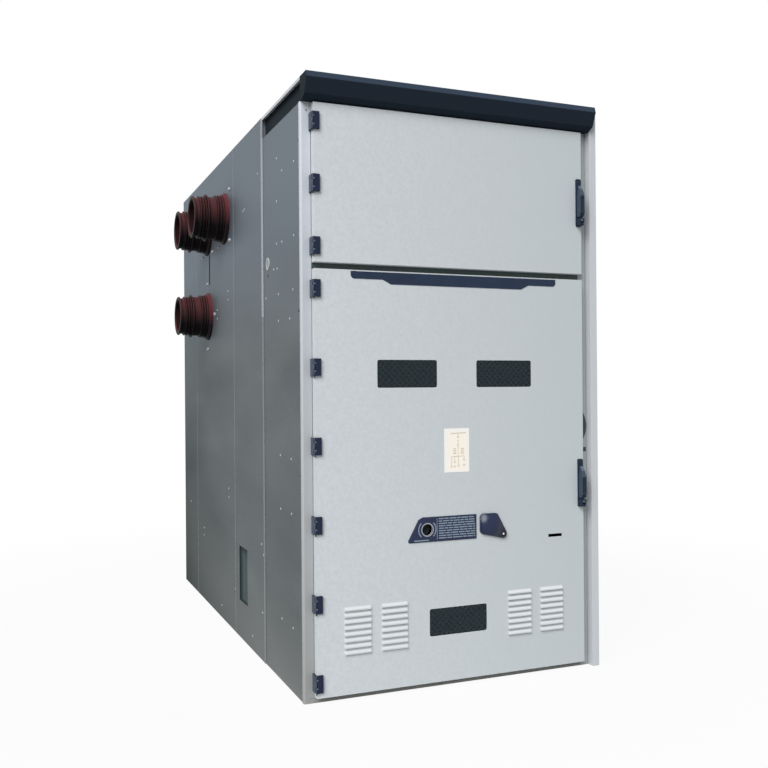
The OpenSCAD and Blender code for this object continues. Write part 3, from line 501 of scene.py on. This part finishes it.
def addPanelEdges(name, places, finish):
    shape = bmesh.new()
    for y, out, foot, top in places:
        low = Vector((leftFace - out * mm, frontPlane + y * mm, foot * mm))
        addBlock(shape, low, Vector((frontPanelFace, low.y + panelEdges["thick"] * mm, top * mm)))
    addPiece(name, shape, finish, "cabinet")


addPanelEdges("panelEdges", panelEdges["brightLine"], edgeHighlight)
addPanelEdges("panelFolds", panelEdges["faintLine"], faintEdgeHighlight)
addPanelEdges("panelJoint", panelEdges["dark"], darkJointAndShade)

# Face of the plug, grey inside its rim
plugFace = {"radius": 19, "thick": 0.6, "dish": 2}


def addPlugFace():
    shape = bmesh.new()
    at = middleOf("side_plug")
    at.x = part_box("side_plug")[0][0] + plugFace["dish"] * mm
    addHead(shape, at, (-1, 0, 0), plugFace["radius"] * mm, plugFace["thick"] * mm, top=1.0, sides=32)
    addPiece("plugFace", shape, plugGrey, "cabinet")


addPlugFace()

# Bolts round the bushings, in a square or a cross, as turn and distance from the middle
bushingBolts = {"radius": 10, "height": 8,
                "places": {"bushing_upper_front": (45, 197), "bushing_upper_rear": (45, 197),
                           "bushing_lower_rear": (0, 196)}}


def addBushingBolts():
    shape = bmesh.new()
    for name, (turn, reach) in bushingBolts["places"].items():
        middle = middleOf(name)
        for i in range(4):
            a = math.radians(turn + 90 * i)
            at = Vector((leftFace, middle.y + math.cos(a) * reach * mm, middle.z + math.sin(a) * reach * mm))
            addHead(shape, at, (-1, 0, 0), bushingBolts["radius"] * mm, bushingBolts["height"] * mm,
                    top=0.9, sides=8)
    addPiece("bushingBolts", shape, zincScrew, "cabinet")


addBushingBolts()

# Painted shade inside the bushings: a dark sleeve just inside each bore
boreShade = {"radius": 81.8, "wall": 0.6, "length": 210, "sunk": 4, "sides": 48}


def addBoreShade():
    shape = bmesh.new()
    sides = boreShade["sides"]
    for name in bushingBolts["places"]:
        low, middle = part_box(name)[0], middleOf(name)
        rings = []
        for part, along in ((0, 0), (0, 1), (1, 1), (1, 0)):
            radius = (boreShade["radius"] - part * boreShade["wall"]) * mm
            x = low[0] + (boreShade["sunk"] + along * boreShade["length"]) * mm
            rings.append([shape.verts.new((x, middle.y + radius * math.cos(2 * math.pi * i / sides),
                                           middle.z + radius * math.sin(2 * math.pi * i / sides)))
                          for i in range(sides)])
        for a, b in zip(rings, rings[1:] + rings[:1]):
            for i in range(sides):
                shape.faces.new((a[i], a[(i + 1) % sides], b[(i + 1) % sides], b[i]))
    addPiece("bushingBoreShade", shape, boreShadePaint, "cabinet")


addBoreShade()

# Screws in the left stile
stileScrews = {"places": [(27, 2464), (26, 25), (37, 26)], "radius": 5, "height": 1.4}


def addStileScrews():
    shape = bmesh.new()
    for x, z in stileScrews["places"]:
        at = Vector((leftFace + x * mm, frontPlane, z * mm))
        addHead(shape, at, (0, -1, 0), stileScrews["radius"] * mm, stileScrews["height"] * mm, top=0.7)
    addPiece("stileScrews", shape, plugGrey, "cabinet")


addStileScrews()

# Plate behind the latch openings in the right stile
latchPlate = {"width": 34, "lap": 4, "foot": 1000, "top": 1200, "back": 4, "thick": 1.5}


def addLatchPlate():
    shape = bmesh.new()
    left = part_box("right_stile")[0][0] - latchPlate["lap"] * mm
    low = Vector((left, frontPlane + latchPlate["back"] * mm, latchPlate["foot"] * mm))
    size = Vector((latchPlate["width"], latchPlate["thick"], latchPlate["top"] - latchPlate["foot"])) * mm
    addBlock(shape, low, low + size)
    addPiece("latchPlate", shape, trayZinc, "cabinet")


addLatchPlate()

# Painted shade on the stile beside those openings: thin dark plates, a segment of a circle above a small bar
latchShadePlates = {"left": 1374, "tip": 1397, "middle": 1124, "radius": 116, "thick": 0.6,
                "bar": (1374, 1394, 1003, 1024), "steps": 20}


def addLatchShadePlates():
    shape = bmesh.new()
    thick = Vector((0, -latchShadePlates["thick"] * mm, 0))
    radius, left = latchShadePlates["radius"], latchShadePlates["left"]
    hub = latchShadePlates["tip"] - radius
    half = math.acos((left - hub) / radius)
    steps = latchShadePlates["steps"]
    x0, x1, z0, z1 = latchShadePlates["bar"]
    rims = [[(x0, z0), (x1, z0), (x1, z1), (x0, z1)], []]
    for i in range(steps + 1):
        a = half * (2 * i / steps - 1)
        rims[1].append((hub + radius * math.cos(a), latchShadePlates["middle"] + radius * math.sin(a)))
    for rim in rims:
        back = [shape.verts.new((leftFace + x * mm, frontPlane, z * mm)) for x, z in rim]
        front = [shape.verts.new(v.co + thick) for v in back]
        shape.faces.new(back)
        shape.faces.new(front)
        for i in range(len(rim)):
            j = (i + 1) % len(rim)
            shape.faces.new((back[i], back[j], front[j], front[i]))
    addPiece("latchShadePlates", shape, shutterSteelAndShade, "cabinet")


addLatchShadePlates()

# Bolts round the rear covers, the roof plates and the right covers, on the far face along an axis
coverBolts = {"radius": 8, "height": 5, "inset": 22, "pitch": 280,
              "places": {"rearUpperBolts": ("rear_upper_cover", 1), "rearLowerBolts": ("rear_lower_cover", 1),
                         "roofFrontBolts": ("roof_front_plate", 2), "roofMidBolts": ("roof_mid_plate", 2),
                         "roofRearBolts": ("roof_rear_plate", 2), "rightFrontBolts": ("right_front_cover", 0),
                         "rightRearBolts": ("right_rear_cover", 0)}}


def addCoverBolts(name, node, axis):
    shape = bmesh.new()
    low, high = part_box(node)
    outward = [0, 0, 0]
    outward[axis] = 1
    a, b = [i for i in range(3) if i != axis]
    inset = coverBolts["inset"] * mm
    spans = [(low[i] + inset, high[i] - inset) for i in (a, b)]
    counts = [max(1, round((end - start) / (coverBolts["pitch"] * mm))) for start, end in spans]
    for i in range(counts[0] + 1):
        for j in range(counts[1] + 1):
            if i in (0, counts[0]) or j in (0, counts[1]):
                at = [0, 0, 0]
                at[axis] = high[axis]
                at[a] = spans[0][0] + (spans[0][1] - spans[0][0]) * i / counts[0]
                at[b] = spans[1][0] + (spans[1][1] - spans[1][0]) * j / counts[1]
                addHead(shape, at, outward, coverBolts["radius"] * mm, coverBolts["height"] * mm,
                        top=1.0, sides=6)
    addPiece(name, shape, zincScrew, "cabinet")


for name, (node, axis) in coverBolts["places"].items():
    addCoverBolts(name, node, axis)
print("screws, rivets and bolts set")

# Rubber seals between the doors and the frame
doorSeals = {"sideInset": 1.5, "inset": 5, "width": 9, "gap": 0.2}


def addDoorSeal(name, node, body):
    shape = bmesh.new()
    low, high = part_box(node)
    inset, width = doorSeals["inset"] * mm, doorSeals["width"] * mm
    left, right = low[0] + doorSeals["sideInset"] * mm, high[0] - doorSeals["sideInset"] * mm
    foot, top = low[2] + inset, high[2] - inset
    back, front = frontPlane - doorSeals["gap"] * mm, high[1]
    for x0, x1, z0, z1 in ((left, right, foot, foot + width), (left, right, top - width, top),
                           (left, left + width, foot + width, top - width),
                           (right - width, right, foot + width, top - width)):
        addBlock(shape, (x0, front, z0), (x1, back, z1))
    addPiece(name, shape, sealRubber, body)


addDoorSeal("upperDoorSeal", "upper_door", "control_door")
addDoorSeal("lowerDoorSeal", "lower_door", "breaker_door")

# Painted highlights on the front of each hinge's outer knuckles: small pale heads where the knuckle ends
# catch the light
hingeGlints = {"radius": 3.6, "height": 0.5, "off": 17, "right": 2.6, "apart": 100}


def addHingeGlints(name, node, joint):
    shape = bmesh.new()
    pin = next(row for row in frame["record"]["behaviour"]["joints"] if row["name"] == joint)
    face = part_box(node)[0][1]
    heights = sorted(vertex.co.z for vertex in nodes[node].data.vertices)
    breaks = [i for i in range(1, len(heights)) if heights[i] - heights[i - 1] > hingeGlints["apart"] * mm]
    for first, end in zip([0] + breaks, breaks + [len(heights)]):
        middle = (heights[first] + heights[end - 1]) / 2
        for side in (-1, 1):
            at = Vector((pin["pos_m"][0], face, middle))
            at += Vector((hingeGlints["right"], 0, side * hingeGlints["off"])) * mm
            addHead(shape, at, (0, -1, 0), hingeGlints["radius"] * mm, hingeGlints["height"] * mm, top=0.8)
    addPiece(name, shape, lockZinc, pin["child"])


addHingeGlints("upperHingeGlints", "upper_hinge_leaves", "control_door_hinge")
addHingeGlints("lowerHingeGlints", "lower_hinge_leaves", "breaker_door_hinge")

# Heel and lock on the drum of each handle, and the screw cap at the top of its base
handleDress = {"lock": 6, "lockHeight": 1, "keyWidth": 2, "keyLength": 7, "keyRaise": 0.2,
               "cap": 5, "capHeight": 1.2, "capDrop": 13,
               "heelWidth": 25, "heelDepth": 25.5, "heelDrop": 24, "heelRound": 5}


def addHandleDress(name, hubNode, baseNode, hubBody, doorBody):
    low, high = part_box(hubNode)
    drum = Vector(((low[0] + high[0]) / 2, low[1], low[2] + (high[0] - low[0]) / 2))
    shape = bmesh.new()
    addHead(shape, drum, (0, -1, 0), handleDress["lock"] * mm, handleDress["lockHeight"] * mm,
            top=0.9, sides=20)
    addPiece(name + "Lock", shape, lockZinc, hubBody)
    shape = bmesh.new()
    reach = Vector((handleDress["heelWidth"] / 2 * mm, 0, 0))
    depth = Vector((0, handleDress["heelDepth"] * mm, 0))
    addBlock(shape, drum - reach - Vector((0, 0, handleDress["heelDrop"] * mm)), drum + reach + depth)
    bmesh.ops.bevel(shape, geom=shape.edges[:], offset=handleDress["heelRound"] * mm, segments=3, profile=0.5,
                    affect="EDGES")
    addPiece(name + "Heel", shape, finishes["handle_metal"], hubBody)
    # Painted shade of the key slot: a thin dark strip on the lock
    shape = bmesh.new()
    reach = Vector((0, 0, handleDress["keyLength"] / 2 * mm))
    face = drum - Vector((0, handleDress["lockHeight"] * mm, 0))
    addStroke(shape, face - reach, face + reach, handleDress["keyWidth"] * mm, handleDress["keyRaise"] * mm,
              (0, -1, 0))
    addPiece(name + "KeySlotShade", shape, darkJointAndShade, hubBody)
    low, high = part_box(baseNode)
    cap = Vector(((low[0] + high[0]) / 2, low[1], high[2] - handleDress["capDrop"] * mm))
    shape = bmesh.new()
    addHead(shape, cap, (0, -1, 0), handleDress["cap"] * mm, handleDress["capHeight"] * mm,
            top=0.7, sides=16)
    addPiece(name + "Cap", shape, finishes["hinge_metal"], doorBody)


addHandleDress("upperHandle", "upper_handle_hub", "upper_handle_base", "control_hub", "control_door")
addHandleDress("lowerHandle", "lower_handle_hub", "lower_handle_base", "breaker_hub", "breaker_door")
print("seals and handle details set")

# Print on the operating plate: ruled lines, a divider and arcs beside the crank hole
platePrint = {"rows": 9, "left": 604, "right": 782, "top": 738, "pitch": 10.5, "line": 5, "raise": 0.25,
              "dash": (14, 46), "space": 4, "least": 6, "divider": 596, "margin": 8, "arc": 41,
              "arcEnds": ((135, 225), (-45, 45)), "caption": (486, 556, 648)}


def addPlatePrint():
    shape = bmesh.new()
    out = (0, -1, 0)
    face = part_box("operating_plate")[0][1]
    line, rise = platePrint["line"] * mm, platePrint["raise"] * mm

    def at(x, z):
        return Vector((leftFace + x * mm, face, z * mm))

    for row in range(platePrint["rows"]):
        z = platePrint["top"] - row * platePrint["pitch"]
        x = platePrint["left"]
        while x < platePrint["right"] - platePrint["least"]:
            end = min(platePrint["right"], x + random.uniform(*platePrint["dash"]))
            addStroke(shape, at(x, z), at(end, z), line, rise, out)
            x = end + platePrint["space"]
    low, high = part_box("operating_plate")
    margin = Vector((0, 0, platePrint["margin"] * mm))
    x = platePrint["divider"]
    addStroke(shape, at(x, low[2] / mm) + margin, at(x, high[2] / mm) - margin, line / 2, rise, out)
    ring = middleOf("crank_ring")
    ring.y = face
    for start, end in platePrint["arcEnds"]:
        addArc(shape, ring, platePrint["arc"] * mm, start, end, line, rise)
    x0, x1, z = platePrint["caption"]
    addStroke(shape, at(x0, z), at(x1, z), line, rise, out)
    addPiece("platePrint", shape, plateInk, "breaker_door")


addPlatePrint()

# Shutter behind the crank hole
crankShutter = {"radius": 29, "gap": 0.4, "thick": 1.5}


def addCrankShutter():
    shape = bmesh.new()
    at = middleOf("crank_ring")
    at.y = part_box("lower_door")[1][1] + crankShutter["gap"] * mm
    addHead(shape, at, (0, 1, 0), crankShutter["radius"] * mm, crankShutter["thick"] * mm,
            top=1.0, sides=32)
    addPiece("crankShutter", shape, shutterSteelAndShade, "breaker_door")


addCrankShutter()

# Pale stud in the eye of the swivel cover, as far out from the operating plate as its face
coverEye = {"right": 19, "up": 19, "out": 8.5, "radius": 4.32, "thick": 0.5}


def addCoverEye():
    shape = bmesh.new()
    low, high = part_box("swivel_cover")
    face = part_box("operating_plate")[0][1] - coverEye["out"] * mm
    at = Vector((high[0] - coverEye["right"] * mm, face, low[2] + coverEye["up"] * mm))
    addHead(shape, at, (0, -1, 0), coverEye["radius"] * mm, coverEye["thick"] * mm, top=1.0, sides=20)
    addPiece("coverEye", shape, finishes["card_plastic"], "crank_cover")


addCoverEye()

# One-line diagram on the card, in shares of its width and height: busbar, switches, transformers, branches
cardPrint = {
    "line": 2.4, "raise": 0.15, "tint": (0.16, 0.09, 0.84, 0.95),
    "busbar": [(0.26, 0.115), (0.86, 0.105)], "busbarThick": 1.6,
    "feeder": [[(0.55, 0.12), (0.55, 0.16)],
               [(0.55, 0.17), (0.59, 0.195), (0.55, 0.22), (0.51, 0.195), (0.55, 0.17)],
               [(0.51, 0.285), (0.59, 0.262)], [(0.55, 0.29), (0.55, 0.35)], [(0.55, 0.42), (0.55, 0.63)]],
    "ring": (0.55, 0.385), "ringRadius": 0.045,
    "barMiddles": (0.41, 0.72), "barHeights": (0.465, 0.5, 0.54, 0.575), "barHalf": 0.06, "barThick": 1.5,
    "lowerBar": [(0.28, 0.645), (0.8, 0.635)],
    "branches": [(0.28, 0.84), (0.41, 0.74), (0.56, 0.82), (0.79, 0.69)], "branchTop": 0.64,
    "loads": [(0.28, 0.87), (0.41, 0.77), (0.41, 0.87), (0.56, 0.85), (0.79, 0.72), (0.79, 0.84)],
    "loadRadius": 0.03, "loadSteps": 10,
}


def addCardPrint():
    low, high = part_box("diagram_card")
    width, height = high[0] - low[0], high[2] - low[2]
    face, line, rise = low[1], cardPrint["line"] * mm, cardPrint["raise"] * mm

    def at(u, v):
        return Vector((low[0] + u * width, face, high[2] - v * height))

    u0, v0, u1, v1 = cardPrint["tint"]
    shape = bmesh.new()
    addStroke(shape, at(u0, (v0 + v1) / 2), at(u1, (v0 + v1) / 2), (v1 - v0) * height, rise / 2, (0, -1, 0))
    addPiece("cardTint", shape, cardTint, "breaker_door")

    shape = bmesh.new()

    def draw(*points, thick=1.0):
        for a, b in zip(points, points[1:]):
            addStroke(shape, at(*a), at(*b), thick * line, rise, (0, -1, 0))

    draw(*cardPrint["busbar"], thick=cardPrint["busbarThick"])
    for points in cardPrint["feeder"]:
        draw(*points)
    addArc(shape, at(*cardPrint["ring"]), cardPrint["ringRadius"] * width, 0, 360, line, rise)
    half = cardPrint["barHalf"]
    for u in cardPrint["barMiddles"]:
        for v in cardPrint["barHeights"]:
            draw((u - half, v), (u + half, v), thick=cardPrint["barThick"])
    draw(*cardPrint["lowerBar"])
    for u, foot in cardPrint["branches"]:
        draw((u, cardPrint["branchTop"]), (u, foot))
    for u, v in cardPrint["loads"]:
        addArc(shape, at(u, v), cardPrint["loadRadius"] * width, 0, 360, line, rise, cardPrint["loadSteps"])
    addPiece("cardPrint", shape, cardInk, "breaker_door")


addCardPrint()
print("print on plate and card set")

# Stage: pale floor, and a white surround for what the camera and reflections see
stage = {"floorSize": 80, "floorColour": "#b9bbbc", "floorDrop": 0.5, "fadeStart": 1.7, "fadeEnd": 4.6,
         "whiteShare": 0.94, "skyLevel": 0.24}


def seenFactor(tree):
    path = addNode(tree, "ShaderNodeLightPath", {}, {})
    first = addNode(tree, "ShaderNodeMath", {"operation": "MAXIMUM"},
                    {0: path.outputs["Is Camera Ray"], 1: path.outputs["Is Glossy Ray"]})
    return addNode(tree, "ShaderNodeMath", {"operation": "MAXIMUM"},
                   {0: first.outputs[0], 1: path.outputs["Is Transmission Ray"]})


def setWorld():
    world = bpy.data.worlds.new("studio")
    bpy.context.scene.world = world
    world.use_nodes = True
    tree = world.node_tree
    tree.nodes.clear()
    seen = seenFactor(tree)
    soft = addNode(tree, "ShaderNodeBackground", {"Color": (1, 1, 1, 1), "Strength": stage["skyLevel"]}, {})
    white = addNode(tree, "ShaderNodeBackground", {"Color": (1, 1, 1, 1), "Strength": 1.0}, {})
    mix = addNode(tree, "ShaderNodeMixShader", {},
                  {0: seen.outputs[0], 1: soft.outputs[0], 2: white.outputs[0]})
    addNode(tree, "ShaderNodeOutputWorld", {}, {"Surface": mix.outputs[0]})


def setFloor():
    shape = bmesh.new()
    bmesh.ops.create_grid(shape, x_segments=1, y_segments=1, size=stage["floorSize"] / 2)
    mesh = bpy.data.meshes.new("studioFloor")
    shape.to_mesh(mesh)
    shape.free()
    floor = bpy.data.objects.new("studioFloor", mesh)
    floor.location.z = -stage["floorDrop"] * mm
    bpy.context.scene.collection.objects.link(floor)
    finish, tree, shader = newFinish("palePaper", {"Base Color": hexLinear(stage["floorColour"]),
                                                   "Roughness": 0.9})
    place = objectPlace(tree)
    reach = addNode(tree, "ShaderNodeVectorMath", {"operation": "LENGTH"}, {0: place})
    fade = addNode(tree, "ShaderNodeMapRange",
                   {"interpolation_type": "SMOOTHSTEP", "From Min": stage["fadeStart"],
                    "From Max": stage["fadeEnd"], "To Min": stage["whiteShare"]},
                   {"Value": reach.outputs["Value"]})
    seen = seenFactor(tree)
    both = addNode(tree, "ShaderNodeMath", {"operation": "MULTIPLY"},
                   {0: fade.outputs[0], 1: seen.outputs[0]})
    white = addNode(tree, "ShaderNodeEmission", {"Color": (1, 1, 1, 1), "Strength": 1.0}, {})
    mix = addNode(tree, "ShaderNodeMixShader", {},
                  {0: both.outputs[0], 1: shader.outputs[0], 2: white.outputs[0]})
    tree.links.new(mix.outputs[0], tree.nodes["Material Output"].inputs["Surface"])
    mesh.materials.append(finish)


# One wide, even light from above the front, as under an open roof
daylight = {"from": (-0.58, -0.58, 0.62), "spread": 40, "strength": 3.5}


def setDaylight():
    lamp = bpy.data.lights.new("daylight", "SUN")
    lamp.energy = daylight["strength"]
    lamp.angle = math.radians(daylight["spread"])
    holder = bpy.data.objects.new("daylight", lamp)
    holder.rotation_euler = Vector(daylight["from"]).to_track_quat("Z", "Y").to_euler()
    bpy.context.scene.collection.objects.link(holder)


setWorld()
setFloor()
setDaylight()

# Camera where the photograph was taken, from a fit of the cabinet's corners
view = {"position": (-1.1161, -3.6046, 1.3054), "yaw": 22.082, "pitch": 0.031, "roll": -0.419,
        "focalPixels": 908.8, "centrePixels": (379.3, 388.1), "imagePixels": 768, "sensor": 36.0}


def setCamera():
    yaw, pitch, roll = (math.radians(view[key]) for key in ("yaw", "pitch", "roll"))
    forward = Vector((math.sin(yaw) * math.cos(pitch), math.cos(yaw) * math.cos(pitch), math.sin(pitch)))
    right = Vector((math.cos(yaw), -math.sin(yaw), 0))
    up = right.cross(forward)
    level, tilt = math.cos(roll), math.sin(roll)
    axes = Matrix((level * right + tilt * up, level * up - tilt * right, -forward)).transposed()
    lens = bpy.data.cameras.new("camera")
    lens.sensor_width = view["sensor"]
    lens.lens = view["focalPixels"] / view["imagePixels"] * view["sensor"]
    lens.shift_x = 0.5 - view["centrePixels"][0] / view["imagePixels"]
    lens.shift_y = view["centrePixels"][1] / view["imagePixels"] - 0.5
    x, y, z = view["position"]
    camera = bpy.data.objects.new("camera", lens)
    camera.matrix_world = Matrix.Translation((leftFace + x, frontPlane + y, z)) @ axes.to_4x4()
    bpy.context.scene.collection.objects.link(camera)
    bpy.context.scene.camera = camera


setCamera()
bpy.context.scene.view_settings.view_transform = "Standard"
print("stage, light and camera set")
